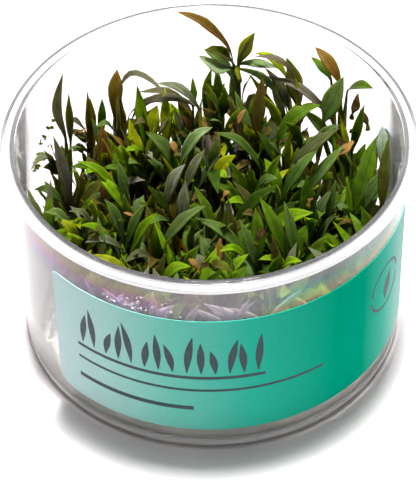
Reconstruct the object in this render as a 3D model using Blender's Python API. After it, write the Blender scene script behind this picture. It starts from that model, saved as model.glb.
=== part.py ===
"""A clear round culture cup with its label, its gel and the young water plants that grow in it.

The origin is at the centre of the cup's underside, +Z up, and the front of the cup faces -Y.
Lengths are worked out in millimetres and turned into metres when a mesh is made.
"""

import math
import random

import bmesh
import bpy
from mathutils import Vector
from mathutils.bvhtree import BVHTree

METRES = 0.001
UP = Vector((0, 0, 1))
FRONT = Vector((0, -1, 0))
GAP = 0.3
SMOOTH_ANGLE = math.radians(30)
MERGE_DISTANCE = 1e-4

# Colours, and how rough and how opaque each material is
PLASTIC = ((0.93, 0.94, 0.95), 0.05, 0.25)
GEL_LOOK = ((0.80, 0.79, 0.74), 0.2, 0.5)
PAPER = ((0.02, 0.45, 0.36), 0.4, 1.0)
LEAF_LOOK = ((0.10, 0.22, 0.03), 0.4, 1.0)

# Cup
CUP_HEIGHT = 59.5
FLANGE_RADIUS = 51.0
FLANGE_DROP = 0.4
LIP_HEIGHT = 1.6
LIP_THICKNESS = 0.7
WALL_RADIUS_TOP = 48.5
WALL_RADIUS_FOOT = 47.3
WALL_THICKNESS = 1.0
FLOOR_THICKNESS = 1.2
FOOT_ROUND = 3.0
CUP_SIDES = 48
CORNER_STEPS = 2

# Label, wound on the wall from its left end to its right end, in degrees from the front
LABEL_LOW = 7.1
LABEL_HIGH = 46.0
LABEL_LEFT = -52.5
LABEL_RIGHT = 112.5
LABEL_THICKNESS = 0.3

# Gel
GEL_TOP = 13.0

# Plantlets
CROWN_RADIUS = 1.9
CROWN_HEIGHT = 3.5
CROWN_FOOT = GEL_TOP + GAP
PETIOLE_WIDTH = 0.75
PETIOLE_THICKNESS = 0.65
BLADE_THICKNESS = 0.5
WIDEST_AT = 0.45
WALL_CLEARANCE = 0.8
LEAF_CLEARANCE = 0.1
LIGHT = Vector((0.0, -0.6, 0.8))
TURN_TO_LIGHT = 0.6
LEAST_TURN_COSINE = 0.3
STEEP = 0.5
SEED = 7

# Ways to move a leaf that has no room where it should stand, and how much of its length and width
# it gives up when none of them helps
SHIFTS = ((0, 0, 1), (0, 0, -1), (0, 1, -1), (0, -1, 1), (1, 0, 0), (-1, 0, 0))
SHIFT_LENGTHS = (1.0, 2.0, 3.0)
SHORTENED_BY = 0.2
NARROWED_TO = 0.8

# Sides of a crown, as angles: half of the widest, the whole of the narrowest, the widest with no leaf,
# and the step under which two sides share a corner
WIDEST_SIDE = math.radians(40)
NARROWEST_SIDE = math.radians(10)
WIDEST_BARE_SIDE = math.radians(80)
SHARED_CORNER = math.radians(0.5)
CLEAR_OF_CROWN = 0.02

# Filling leaves, which close the mass below the ones that stand out
LEAVES_OF_PLANTLET = 11
CANOPY_HEIGHT = 42.0
CANOPY_HEIGHT_AT_FRONT = 44.0
FRONT_LIMIT = -24.0
HEADING_SPREAD = 0.3
FILLER_REACH = (4.0, 13.0)
FILLER_HEIGHT_SPREAD = (-9.0, 2.0)
ARCHING = 0.45
FILLER_BLADE = (10.0, 16.0)
FILLER_DROP = (0.15, 0.8)
LONGEST_RUN = 0.85
FILLER_WIDTH = (2.4, 4.4)
FILLER_BOW = (1.0, 3.0)
FILLER_COUNT = 23
FILLER_SPACING = 6.4
FILLER_SCATTER = 1.0
FILLER_BACK_LIMIT = 24.0
SPIRAL_POINTS = 130
GOLDEN_ANGLE = math.pi * (3 - math.sqrt(5))
FOOT_LIMIT = 42.0
TRIES = 80
FEWEST_LEAVES = 4

# The plantlets that stand out. A row is the foot on the gel, then the leaves: tip, base of the
# blade, width, how far the blade bows up and how far it bows to the left of where it points.
STANDOUTS = (
    ((8, 39), (
        ((-8, 44, 63), (6, 42, 49), 2.6, 4, 0),
        ((12, 43, 56), (8, 42, 46), 2.8, 1, 0),
        ((-1, 42, 52), (6, 41, 46), 3.0, 1, 0),
        ((-2, 42, 47), (6, 39, 39), 3.8, 1, 0))),
    ((22, 36), (
        ((7, 41, 46), (19, 40, 44), 2.2, 2, 0),
        ((12, 42, 50), (20, 39, 47), 1.9, 2, 0),
        ((20, 41, 49), (23, 38, 35), 4.2, 1, 0),
        ((16, 39, 42), (19, 35, 38), 2.2, 1, 0))),
    ((33, 28), (
        ((14, 39, 45), (31, 31, 47), 2.4, 2, 0),
        ((27, 36, 57), (33, 29, 50), 2.6, 2, 0),
        ((26, 36, 54), (31, 31, 50), 1.9, 1, 0),
        ((41, 20, 57), (35, 28, 48), 2.4, 2, 0),
        ((34, 30, 52), (29, 27, 38), 4.4, 1, 0),
        ((29, 35, 47), (26, 34, 38), 3.2, 1, 0))),
    ((3, 34), (
        ((-1, 39, 44), (4, 35, 37), 2.8, 1, 0),
        ((0, 42, 45), (-3, 40, 37), 2.4, 1, 0))),
    ((12, 28), (
        ((14, 38, 46), (12, 31, 35), 3.4, 1, 0),)),
    ((-23, 33), (
        ((-23, 39, 48), (-24, 34, 42), 3.6, 1, 0),
        ((-1, 31, 41), (-19, 38, 45), 2.6, 3, 0),
        ((-11, 37, 39), (-18, 38, 44), 1.8, 1, 0),
        ((-34, 29, 44), (-21, 31, 40), 1.8, 2, 0))),
    ((-4, 36), (
        ((-18, 38, 41), (-4, 39, 41), 2.2, 3, 0),)),
    ((-15, 29), (
        ((-18, 36, 45), (-17, 31, 34), 3.2, 1, 0),
        ((-11, 36, 44), (-10, 30, 34), 2.8, 1, 0))),
    ((-30, 30), (
        ((-30, 34, 43), (-30, 33, 33), 2.8, 1, 0),
        ((-27, 36, 41), (-27, 34, 33), 2.2, 1, 0),
        ((-36, 27, 42), (-31, 31, 38), 2.2, 2, 0))),
    ((-37, 20), (
        ((-35, 28, 50), (-35, 25, 36), 1.9, 1, 0),
        ((-36, 27, 58), (-36, 22, 40), 2.0, 0, 2),
        ((-44, 4, 47), (-39, 17, 42), 2.4, 3, 0),
        ((-37, 20, 38), (-30, 22, 41), 2.0, 2, 0))),
    ((-35, 8), (
        ((-40, 18, 45), (-36, 9, 34), 3.0, 1, 0),
        ((-39, 2, 39), (-32, 4, 40), 1.9, 2, 0),
        ((-44, 6, 38), (-38, 6, 39), 2.2, 2, 0))),
    ((-26, 20), (
        ((-27, 23, 44), (-26, 20, 35), 3.2, 1, 0),
        ((-20, 17, 43), (-25, 22, 41), 2.4, 1, 0))),
    ((-17, 20), (
        ((-14, 12, 41), (-16, 17, 45), 2.4, 1, 0),)),
    ((-8, 15), (
        ((-16, 18, 46), (-8, 15, 42), 3.4, 2, 0),
        ((1, 19, 46), (-7, 16, 46), 3.0, 2, 0))),
    ((11, 8), (
        ((1, 13, 44), (8, 6, 39), 4.0, 1, 0),
        ((2, 4, 44), (10, 4, 42), 2.8, 2, 0),
        ((17, 3, 43), (11, 6, 43), 2.2, 2, 0),
        ((18, 10, 45), (14, 8, 39), 2.2, 1, 0),
        ((1, 15, 48), (13, 13, 44), 2.2, 2, 0))),
    ((0, 18), (
        ((2, 2, 39), (0, 14, 42), 3.4, 2, 0),)),
    ((-9, 1), (
        ((-1, 9, 48), (-6, 5, 42), 2.4, 1, 0),
        ((-6, 7, 45), (-12, 3, 42), 3.0, 2, 0),
        ((-6, 3, 43), (-7, -2, 35), 3.4, 1, 0),
        ((-20, 2, 44), (-13, -1, 42), 3.2, 2, 0))),
    ((-20, 3), (
        ((-33, 10, 44), (-23, 8, 42), 2.2, 2, 0),
        ((-29, 6, 44), (-20, 0, 38), 2.8, 2, 0),
        ((-23, 8, 46), (-21, 5, 40), 2.6, 1, 0))),
    ((-13, -11), (
        ((-1, -8, 45), (-12, -10, 39), 3.4, 2, 0),
        ((-27, -16, 40), (-13, -16, 41), 2.6, 3, 0))),
    ((-21, -9), (
        ((-16, -7, 45), (-21, -9, 38), 2.4, 1, 0),
        ((-13, -7, 42), (-19, -10, 37), 2.4, 2, 0),
        ((-26, -4, 44), (-22, -6, 39), 3.0, 1, 0),
        ((-32, -10, 41), (-25, -9, 40), 2.2, 2, 0),
        ((-31, -14, 39), (-22, -12, 40), 2.2, 2, 0))),
    ((-32, -7), (
        ((-37, -6, 39), (-31, -11, 37), 3.8, 2, 0),
        ((-41, -3, 39), (-35, -2, 39), 2.4, 2, 0),
        ((-35, -5, 41), (-28, -2, 39), 1.9, 2, 0))),
    ((-14, -22), (
        ((-31, -17, 38), (-19, -21, 38), 3.0, 2, 0),
        ((-5, -23, 39), (-12, -23, 39), 3.0, 3, 0))),
    ((-3, -29), (
        ((-16, -25, 38), (-6, -28, 38), 2.0, 2, 0),)),
    ((3, -6), (
        ((-4, 0, 44), (1, -6, 37), 2.8, 1, 0),
        ((17, 0, 44), (6, -2, 38), 3.2, 2, 0))),
    ((11, -16), (
        ((7, -12, 44), (11, -17, 36), 2.6, 1, 0),
        ((11, -8, 44), (12, -13, 36), 3.4, 1, 0),
        ((2, -20, 41), (8, -16, 41), 2.2, 2, 0),
        ((-4, -11, 44), (8, -15, 41), 3.0, 2, 0))),
    ((0, -20), (
        ((9, -20, 40), (4, -22, 37), 2.8, 1, 0),
        ((5, -24, 38), (-3, -20, 41), 2.8, 2, 0))),
    ((20, -13), (
        ((12, -5, 45), (18, -13, 36), 3.2, 2, 0),
        ((18, -7, 45), (21, -14, 36), 2.8, 1, 0),
        ((22, -17, 36), (22, -11, 42), 3.8, 1, 0),
        ((22, -22, 39), (16, -20, 38), 2.2, 2, 0))),
    ((25, -4), (
        ((24, 2, 45), (24, -3, 36), 4.2, 1, 0),
        ((31, 1, 44), (30, -2, 37), 2.4, 1, 0))),
    ((18, 8), (
        ((27, 11, 45), (18, 6, 39), 3.4, 2, 0),
        ((33, 17, 47), (19, 11, 42), 3.8, 2, 0),
        ((34, 15, 43), (25, 9, 36), 3.0, 1, 0))),
    ((19, 20), (
        ((28, 25, 47), (17, 20, 43), 3.8, 2, 0),
        ((17, 18, 48), (22, 17, 44), 2.4, 1, 0),
        ((33, 20, 45), (27, 19, 46), 1.9, 1, 0))),
    ((36, 18), (
        ((39, 22, 50), (36, 20, 35), 2.2, 1, 0),)),
    ((36, -2), (
        ((42, 13, 48), (36, 1, 35), 4.8, 2, 0),
        ((44, 1, 48), (37, -2, 37), 3.2, 2, 0),
        ((44, 5, 55), (42, -4, 38), 2.6, 1, 0),
        ((43, 14, 50), (43, 7, 44), 3.0, 1, 0))),
    ((39, -12), (
        ((37, -5, 41), (40, -8, 33), 3.2, 1, 0),)),
    ((11, -27), (
        ((5, -26, 37), (15, -25, 38), 2.2, 2, 0),)),
)


def clear_scene():
    for thing in list(bpy.data.objects):
        bpy.data.objects.remove(thing, do_unlink=True)


def material(name, colour, roughness, opacity):
    made = bpy.data.materials.new(name)
    made.use_nodes = True
    shader = made.node_tree.nodes["Principled BSDF"]
    shader.inputs["Base Color"].default_value = (*colour, 1.0)
    shader.inputs["Roughness"].default_value = roughness
    shader.inputs["Metallic"].default_value = 0.0
    shader.inputs["Alpha"].default_value = opacity
    return made


def add_object(name, mesh, finish):
    bmesh.ops.scale(mesh, vec=(METRES, METRES, METRES), verts=mesh.verts)
    data = bpy.data.meshes.new(name)
    mesh.to_mesh(data)
    mesh.free()
    data.materials.append(finish)
    data.shade_smooth()
    data.set_sharp_from_angle(angle=SMOOTH_ANGLE)
    made = bpy.data.objects.new(name, data)
    bpy.context.scene.collection.objects.link(made)
    return made


def arc(centre, radius, start, end):
    """Points of a profile's rounded corner, from one angle to another in degrees."""
    angles = [math.radians(start + (end - start) * i / CORNER_STEPS) for i in range(CORNER_STEPS + 1)]
    return [(centre[0] + radius * math.cos(a), centre[1] + radius * math.sin(a)) for a in angles]


def turned(profile, sides):
    """A closed profile of (radius, height) points spun round the Z axis."""
    mesh = bmesh.new()
    verts = [mesh.verts.new((radius, 0, height)) for radius, height in profile]
    edges = [mesh.edges.new((verts[i], verts[(i + 1) % len(verts)])) for i in range(len(verts))]
    bmesh.ops.spin(mesh, geom=verts + edges, cent=(0, 0, 0), axis=(0, 0, 1),
                   angle=2 * math.pi, steps=sides, use_merge=True)
    bmesh.ops.remove_doubles(mesh, verts=mesh.verts, dist=MERGE_DISTANCE)
    bmesh.ops.dissolve_degenerate(mesh, edges=mesh.edges, dist=MERGE_DISTANCE)
    bmesh.ops.recalc_face_normals(mesh, faces=mesh.faces)
    return mesh


def wall_radius(height):
    """Outer radius of the drafted wall at a height."""
    share = (height - FOOT_ROUND) / (CUP_HEIGHT - FOOT_ROUND)
    return WALL_RADIUS_FOOT + (WALL_RADIUS_TOP - WALL_RADIUS_FOOT) * share


def inner_radius(height):
    return wall_radius(height) - WALL_THICKNESS


def make_cup():
    under_flange = CUP_HEIGHT - FLANGE_DROP - LIP_THICKNESS
    lip_foot = CUP_HEIGHT - LIP_HEIGHT
    inner_foot = FOOT_ROUND - WALL_THICKNESS
    inner_foot_radius = inner_radius(FOOT_ROUND) - inner_foot
    outer_foot = arc((WALL_RADIUS_FOOT - FOOT_ROUND, FOOT_ROUND), FOOT_ROUND, 0, -90)
    inner_corner = arc((inner_foot_radius, FLOOR_THICKNESS + inner_foot), inner_foot, -90, 0)
    profile = [
        (inner_radius(CUP_HEIGHT), CUP_HEIGHT),
        (WALL_RADIUS_TOP, CUP_HEIGHT),
        (WALL_RADIUS_TOP + FLANGE_DROP, CUP_HEIGHT - FLANGE_DROP),
        (FLANGE_RADIUS - FLANGE_DROP, CUP_HEIGHT - FLANGE_DROP),
        (FLANGE_RADIUS, CUP_HEIGHT - 2 * FLANGE_DROP),
        (FLANGE_RADIUS, lip_foot),
        (FLANGE_RADIUS - LIP_THICKNESS, lip_foot),
        (FLANGE_RADIUS - LIP_THICKNESS, under_flange),
        (wall_radius(under_flange), under_flange),
        *outer_foot,
        (0, 0),
        (0, FLOOR_THICKNESS),
        *inner_corner,
    ]
    return add_object("cup", turned(profile, CUP_SIDES), material("cup_plastic", *PLASTIC))


def make_gel():
    inner_foot = FOOT_ROUND - WALL_THICKNESS
    corner_centre = (inner_radius(FOOT_ROUND) - inner_foot, FLOOR_THICKNESS + inner_foot)
    corner = arc(corner_centre, inner_foot - GAP, -90, 0)
    profile = [
        (inner_radius(GEL_TOP) - GAP, GEL_TOP),
        (0, GEL_TOP),
        (0, FLOOR_THICKNESS + GAP),
        *corner,
    ]
    return add_object("gel", turned(profile, CUP_SIDES), material("gel", *GEL_LOOK))


def make_label():
    """A curved sheet whose flats follow the flats of the wall behind it."""
    mesh = bmesh.new()
    step = 360 / CUP_SIDES
    rings = []
    for i in range(round((LABEL_RIGHT - LABEL_LEFT) / step) + 1):
        angle = math.radians(LABEL_LEFT + i * step)
        out = Vector((math.sin(angle), -math.cos(angle), 0))
        ring = []
        for height, lift in ((LABEL_LOW, GAP), (LABEL_LOW, GAP + LABEL_THICKNESS),
                             (LABEL_HIGH, GAP + LABEL_THICKNESS), (LABEL_HIGH, GAP)):
            ring.append(mesh.verts.new(out * (wall_radius(height) + lift) + UP * height))
        rings.append(ring)
    for one, two in zip(rings, rings[1:]):
        for a in range(4):
            mesh.faces.new((one[a], one[(a + 1) % 4], two[(a + 1) % 4], two[a]))
    mesh.faces.new(rings[0])
    mesh.faces.new(rings[-1])
    bmesh.ops.recalc_face_normals(mesh, faces=mesh.faces)
    return add_object("label", mesh, material("label_paper", *PAPER))


def level(vector):
    """The horizontal direction of a vector, or the front where it stands upright."""
    flat = Vector((vector.x, vector.y, 0))
    return flat.normalized() if flat.length > STEEP else FRONT


def leaf_sections(foot, tip, root, width, bow, sway, swell=0.0):
    """Three-cornered sections of a leaf: at the base of its blade and where the blade is widest.

    Each is left edge, right edge and the ridge on the upper face. swell thickens the leaf, for
    the test that keeps leaves apart.
    """
    heading = level(tip - foot)
    left = UP.cross(heading)
    middle = root.lerp(tip, WIDEST_AT) + UP * bow + left * sway
    sections = []
    for point, ahead, wide, thick, turn in (
            (root, (middle - foot).normalized(), PETIOLE_WIDTH, PETIOLE_THICKNESS, 0),
            (middle, (tip - root).normalized(), width, BLADE_THICKNESS, TURN_TO_LIGHT)):
        upper = ahead.cross(left).normalized()
        face = upper * (1 - turn) + LIGHT * turn
        face = (face - ahead * face.dot(ahead)).normalized()
        if face.dot(upper) < LEAST_TURN_COSINE:
            face = upper
        side = face.cross(ahead)
        half = wide / 2 + swell
        sections.append((point + side * half - face * swell, point - side * half - face * swell,
                         point + face * (thick + swell)))
    return sections


class Shell:
    """An open surface with its box, for overlap tests."""

    def __init__(self, points, faces):
        self.faces = faces
        self.low = tuple(min(p[i] for p in points) for i in range(3))
        self.high = tuple(max(p[i] for p in points) for i in range(3))
        self.tree = BVHTree.FromPolygons(points, faces)

    def touches(self, other):
        apart = any(self.high[i] < other.low[i] or self.low[i] > other.high[i] for i in range(3))
        return not apart and bool(self.tree.overlap(other.tree))

    def crosses_itself(self):
        pairs = self.tree.overlap(self.tree)
        return any(not set(self.faces[a]) & set(self.faces[b]) for a, b in pairs)


def leaf_shell(start, sections, tip):
    """The surface of a leaf from a section of its petiole to its tip."""
    points = [*start, *sections[0], *sections[1], tip]
    faces = []
    for ring in (0, 3):
        for a in range(3):
            b = (a + 1) % 3
            faces.append((ring + a, ring + b, ring + 3 + b))
            faces.append((ring + a, ring + 3 + b, ring + 3 + a))
    faces += [(6, 7, 9), (7, 8, 9), (8, 6, 9)]
    return Shell(points, faces)


def crown_shell(foot):
    top = foot + UP * CROWN_HEIGHT
    ring = [foot + bearing(quarter * math.pi / 2) * (CROWN_RADIUS + LEAF_CLEARANCE)
            for quarter in range(4)]
    return Shell([*ring, top], [(0, 1, 4), (1, 2, 4), (2, 3, 4), (3, 0, 4)])


def bearing(angle):
    return Vector((math.cos(angle), math.sin(angle), 0))


def angle_of(vector):
    return math.atan2(vector.y, vector.x)


class Leaf:
    """A leaf's heading at the base of its blade, its tip and its sections."""

    def __init__(self, foot, tip, root, shape, swell=0.0):
        self.heading = angle_of(root - foot)
        self.tip = tip
        self.sections = leaf_sections(foot, tip, root, *shape, swell)


class Plantlet:
    """A crown on the gel and the leaves that it has grown so far."""

    def __init__(self, foot, standing_out):
        self.foot = foot
        self.crown_top = foot + UP * CROWN_HEIGHT
        self.standing_out = standing_out
        self.leaves = []
        self.shells = []
        self.crown = crown_shell(foot)

    def sides(self, leaves):
        """Where each leaf's side of the crown starts and ends, as angles, in the leaves' order."""
        order = sorted(range(len(leaves)), key=lambda i: leaves[i].heading)
        found = {}
        for place, i in enumerate(order):
            after = leaves[order[(place + 1) % len(order)]].heading
            before = leaves[order[place - 1]].heading
            here = leaves[i].heading
            reach_left = (after - here) % (2 * math.pi) or 2 * math.pi
            reach_right = (here - before) % (2 * math.pi) or 2 * math.pi
            right = here - min(reach_right / 2, WIDEST_SIDE)
            found[i] = (right, here + min(reach_left / 2, WIDEST_SIDE))
        return found

    def shell(self, leaf, side, share):
        """A leaf's surface from a share of the way up its petiole."""
        right, left = (self.foot + bearing(angle) * CROWN_RADIUS for angle in side)
        start = [low.lerp(high, share) for low, high in
                 zip((left, right, self.crown_top), leaf.sections[0])]
        return leaf_shell(start, leaf.sections, leaf.tip)

    def fits_sisters(self, leaf):
        leaves = [*self.leaves, leaf]
        sides = self.sides(leaves)
        if any(high - low < NARROWEST_SIDE for low, high in sides.values()):
            return False
        shells = [self.shell(one, sides[i], CLEAR_OF_CROWN) for i, one in enumerate(leaves)]
        own = shells.pop()
        return not own.crosses_itself() and not any(own.touches(shell) for shell in shells)

    def grow(self, candidates, others):
        """Keep the first candidate that is inside the cup and clear of every leaf already there."""
        for tip, root, *shape in candidates:
            swollen = Leaf(self.foot, tip, root, shape, LEAF_CLEARANCE)
            if not inside_cup([*swollen.sections[0], *swollen.sections[1], tip]):
                continue
            side = (swollen.heading - WIDEST_SIDE, swollen.heading + WIDEST_SIDE)
            whole = self.shell(swollen, side, 0)
            if any(whole.touches(shell) for other in others for shell in (other.crown, *other.shells)):
                continue
            leaf = Leaf(self.foot, tip, root, shape)
            if self.fits_sisters(leaf):
                self.leaves.append(leaf)
                self.shells.append(whole)
                return


def inside_cup(points):
    for point in points:
        room = inner_radius(min(point.z, CUP_HEIGHT)) - WALL_CLEARANCE
        if math.hypot(point.x, point.y) > room or point.z < CROWN_FOOT:
            return False
    return True


def moved_candidates(leaf):
    """A leaf that stands out, as it is and then shifted a little at a time until it fits."""
    tip, root, width, bow, sway = leaf
    tip, root = Vector(tip), Vector(root)
    yield tip, root, width, bow, sway
    for length in SHIFT_LENGTHS:
        for shift in SHIFTS:
            offset = Vector(shift) * length
            yield tip + offset, root + offset, width, bow, sway
    middle = tip.lerp(root, 0.5)
    shorter = (tip.lerp(middle, SHORTENED_BY), root.lerp(middle, SHORTENED_BY))
    yield *shorter, width * NARROWED_TO, bow, sway


def filling_candidates(foot, heading, rng, tall):
    """Leaves at about one heading, and further from it try by try.

    The ones that reach out arch over and the ones near the middle stand up.
    """
    for attempt in range(TRIES):
        spread = HEADING_SPREAD + math.pi * (attempt / TRIES) ** 2
        angle = heading + rng.uniform(-spread, spread)
        out = bearing(angle)
        reach = rng.uniform(*FILLER_REACH)
        height = tall - ARCHING * reach + rng.uniform(*FILLER_HEIGHT_SPREAD)
        blade = rng.uniform(*FILLER_BLADE)
        drop = blade * rng.uniform(*FILLER_DROP)
        run = min(math.sqrt(blade ** 2 - drop ** 2), reach * LONGEST_RUN)
        tip = foot + out * reach
        tip.z = height
        root = tip - out * run
        root.z = height - drop
        yield tip, root, rng.uniform(*FILLER_WIDTH), rng.uniform(*FILLER_BOW), 0


def free_heading(plantlet):
    """The middle of the widest gap between the headings of a plantlet's leaves."""
    headings = sorted(leaf.heading for leaf in plantlet.leaves)
    if not headings:
        return 0.0
    following = [*headings[1:], headings[0] + 2 * math.pi]
    gap, start = max((after - before, before) for before, after in zip(headings, following))
    return start + gap / 2


def filler_feet(rng):
    """Feet on a sunflower spiral, where no plantlet that stands out is close."""
    feet = [Vector((x, y)) for (x, y), _ in STANDOUTS]
    added = []
    for i in range(SPIRAL_POINTS):
        radius = FOOT_LIMIT * math.sqrt((i + 0.5) / SPIRAL_POINTS)
        angle = i * GOLDEN_ANGLE
        spot = Vector((radius * math.cos(angle), radius * math.sin(angle)))
        spot += Vector([rng.uniform(-FILLER_SCATTER, FILLER_SCATTER) for _ in range(2)])
        crowded = any((spot - other).length < FILLER_SPACING for other in feet)
        if crowded or spot.y > FILLER_BACK_LIMIT or spot.length > FOOT_LIMIT:
            continue
        feet.append(spot)
        added.append(spot)
    added.sort(key=lambda spot: spot.y)
    return added[:FILLER_COUNT]


def crown_corners(plantlet):
    """The crown's corners as angles, going round, and the one that each leaf's side starts at."""
    sides = plantlet.sides(plantlet.leaves)
    order = sorted(sides, key=lambda i: sides[i][0])
    angles = []
    starts = {}
    for i, following in zip(order, [*order[1:], order[0]]):
        right, left = sides[i]
        starts[i] = len(angles)
        angles.append(right)
        gap = (sides[following][0] - left) % (2 * math.pi)
        if SHARED_CORNER < gap < 2 * math.pi - SHARED_CORNER:
            bare_sides = math.ceil(gap / WIDEST_BARE_SIDE)
            angles += [left + gap * k / bare_sides for k in range(bare_sides)]
    return angles, starts


def plantlet_mesh(plantlet):
    """One grown body: a pointed crown, and a leaf that runs out of each of its sides but the bare ones."""
    mesh = bmesh.new()
    angles, starts = crown_corners(plantlet)
    ring = [mesh.verts.new(plantlet.foot + bearing(angle) * CROWN_RADIUS) for angle in angles]
    top = mesh.verts.new(plantlet.crown_top)
    mesh.faces.new(list(reversed(ring)))
    following = [*ring[1:], ring[0]]
    for place in set(range(len(ring))) - set(starts.values()):
        mesh.faces.new((ring[place], following[place], top))
    for i, leaf in enumerate(plantlet.leaves):
        below = [following[starts[i]], ring[starts[i]], top]
        for section in leaf.sections:
            above = [mesh.verts.new(point) for point in section]
            for a in range(3):
                b = (a + 1) % 3
                mesh.faces.new((below[a], below[b], above[b]))
                mesh.faces.new((below[a], above[b], above[a]))
            below = above
        end = mesh.verts.new(leaf.tip)
        for a in range(3):
            mesh.faces.new((below[a], below[(a + 1) % 3], end))
    bmesh.ops.triangulate(mesh, faces=mesh.faces)
    bmesh.ops.recalc_face_normals(mesh, faces=mesh.faces)
    return mesh


def grow_plantlets():
    """First the leaves that stand out, on every plantlet, and then the filling between them."""
    rng = random.Random(SEED)
    plantlets = [Plantlet(Vector((x, y, CROWN_FOOT)), leaves) for (x, y), leaves in STANDOUTS]
    plantlets += [Plantlet(Vector((*spot, CROWN_FOOT)), ()) for spot in filler_feet(rng)]
    others = {plantlet: [other for other in plantlets if other is not plantlet]
              for plantlet in plantlets}
    for plantlet in plantlets:
        for leaf in plantlet.standing_out:
            plantlet.grow(moved_candidates(leaf), others[plantlet])
    for number in range(LEAVES_OF_PLANTLET):
        for plantlet in plantlets:
            if len(plantlet.leaves) > number:
                continue
            tall = CANOPY_HEIGHT if plantlet.foot.y > FRONT_LIMIT else CANOPY_HEIGHT_AT_FRONT
            candidates = filling_candidates(plantlet.foot, free_heading(plantlet), rng, tall)
            plantlet.grow(candidates, others[plantlet])
    return [plantlet for plantlet in plantlets if len(plantlet.leaves) >= FEWEST_LEAVES]


def make_plantlets():
    finish = material("leaves", *LEAF_LOOK)
    for number, plantlet in enumerate(grow_plantlets(), start=1):
        add_object(f"plantlet_{number:02d}", plantlet_mesh(plantlet), finish)


def main():
    clear_scene()
    make_cup()
    make_gel()
    make_label()
    make_plantlets()


main()
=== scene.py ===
import math
import random

import bmesh
import bpy
from mathutils import Matrix, Vector, noise


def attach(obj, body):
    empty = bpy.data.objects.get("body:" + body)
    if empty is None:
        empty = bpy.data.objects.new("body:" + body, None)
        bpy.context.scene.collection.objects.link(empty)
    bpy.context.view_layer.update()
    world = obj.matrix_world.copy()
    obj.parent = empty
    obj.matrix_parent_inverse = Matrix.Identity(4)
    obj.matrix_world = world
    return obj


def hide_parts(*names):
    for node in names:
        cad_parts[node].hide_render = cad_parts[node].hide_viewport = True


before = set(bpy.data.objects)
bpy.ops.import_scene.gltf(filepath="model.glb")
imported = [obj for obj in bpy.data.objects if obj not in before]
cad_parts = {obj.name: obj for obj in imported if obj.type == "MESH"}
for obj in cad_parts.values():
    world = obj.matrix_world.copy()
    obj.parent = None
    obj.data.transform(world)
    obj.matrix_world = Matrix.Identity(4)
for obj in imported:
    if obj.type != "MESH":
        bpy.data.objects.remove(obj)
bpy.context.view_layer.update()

# Lengths are in millimetres unless they belong to the camera, the stage or a material. Angles round the
# cup are in degrees, from the front towards the right.

METRES = 0.001
UP = Vector((0, 0, 1))
FULL_TURN = 2 * math.pi
TINY = 1e-6
SHARP_ANGLE = math.radians(40)
SEED = 11

# Camera, as fitted to the photograph's rim, wall and foot
CAMERA_PLACE = (-0.00077, -0.6035, 0.6275)
CAMERA_PITCH = 45.01
CAMERA_ROLL = -1.09
CAMERA_LENS = 252.8

# Stage: the sky brightens from the front up to the top and the back
FLOOR_HALF = 3.0
FLOOR_LEVEL = -0.00005
FLOOR_COLOUR = (0.9, 0.858, 0.862)
SKY_TILT = (0.0, 0.53, 0.85)
SKY = ((0.0, 0.2), (0.3, 0.42), (0.7, 1.1), (1.0, 1.6))
SKY_STRENGTH = 0.25
LAMP_PLACE = (0.02, 0.13, 0.9)
LAMP_AIM = (0, 0, 0.02)
LAMP_SIZE = 0.17
LAMP_POWER = 17.0

# Cup, as the CAD has it
CUP_HEIGHT = 59.5
FLANGE_RADIUS = 51.0
FLANGE_DROP = 0.4
LIP_HEIGHT = 1.6
LIP_THICKNESS = 0.7
WALL_RADIUS_TOP = 48.5
WALL_RADIUS_FOOT = 47.3
WALL_THICKNESS = 1.0
FLOOR_THICKNESS = 1.2
FOOT_ROUND = 3.0

# Cup, finer: the foot's corner, and the groove and the bead that run round the top of the flange
FOOT_CORNER = 1.6
CUP_SIDES = 192
GROOVE_RADIUS = 49.35
GROOVE_DEPTH = 0.22
BEAD_RADIUS = 50.3
BEAD_HALF = 0.3
BEAD_RISE = 0.18
EDGE_DROP = 0.03
FINE_ROUND = 0.08
LIP_ROUND = 0.2
SUPPORT = 0.15

# How clear the plastic is, by its radius from just outside the wall to the flange's edge, and less over
# the foot. The light that lamps send through it grows with height.
CLEAR_FROM = 0.1
CLEARNESS = ((0.0, 0.95), (0.1, 0.7), (0.6, 0.66), (0.78, 0.45), (0.96, 0.5), (0.99, 0.2))
FOOT_HAZE = (2.2, 4.0)
FOOT_CLEARNESS = 0.35
PLASTIC_SHADOW = ((0.0, 0.1), (0.5, 0.3), (1.0, 0.93))
SHADOW_HEIGHT = 6

# Tints of the plastic, with painted light, and grey lines along the flange in front and behind, by the same
# radius:
# painted shade where refraction shows the flange's edges dark
CLEAR_TINT = (0.96, 0.955, 0.965)
# Painted reflection: the violet-grey veil over the front of the wall above the label
PAINTED_VEIL_TINT = (0.84, 0.77, 0.88)
# Painted shade along the wall's crest
CREST_PAINTED_SHADE = (0.68, 0.68, 0.7)
CREST = (CUP_HEIGHT - 0.28, CUP_HEIGHT - 0.12)
# Painted shade over the foot's lowest part, where it meets the floor
FOOT_PAINTED_SHADE = (0.9, 0.89, 0.86)
FOOT_SHADE_HEIGHTS = (2.2, 1.2)
GROOVE_PAINTED_LINE = (0.62, 0.64, 0.67)
EDGE_PAINTED_LINE = (0.5, 0.52, 0.52)
RIM_PAINTED_LINE = (0.24, 0.24, 0.26)
FRONT_LIP_PAINTED_LINES = ((0.0, 1), (0.24, 1), (0.31, GROOVE_PAINTED_LINE), (0.38, 1),
             (0.8, 1), (0.86, EDGE_PAINTED_LINE), (0.95, EDGE_PAINTED_LINE), (0.985, 1))
BACK_LIP_PAINTED_LINES = ((0.0, 1), (0.56, 1), (0.62, RIM_PAINTED_LINE), (0.97, RIM_PAINTED_LINE), (0.99, 1))
LIP_BLEND = (-10, 10)

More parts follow.
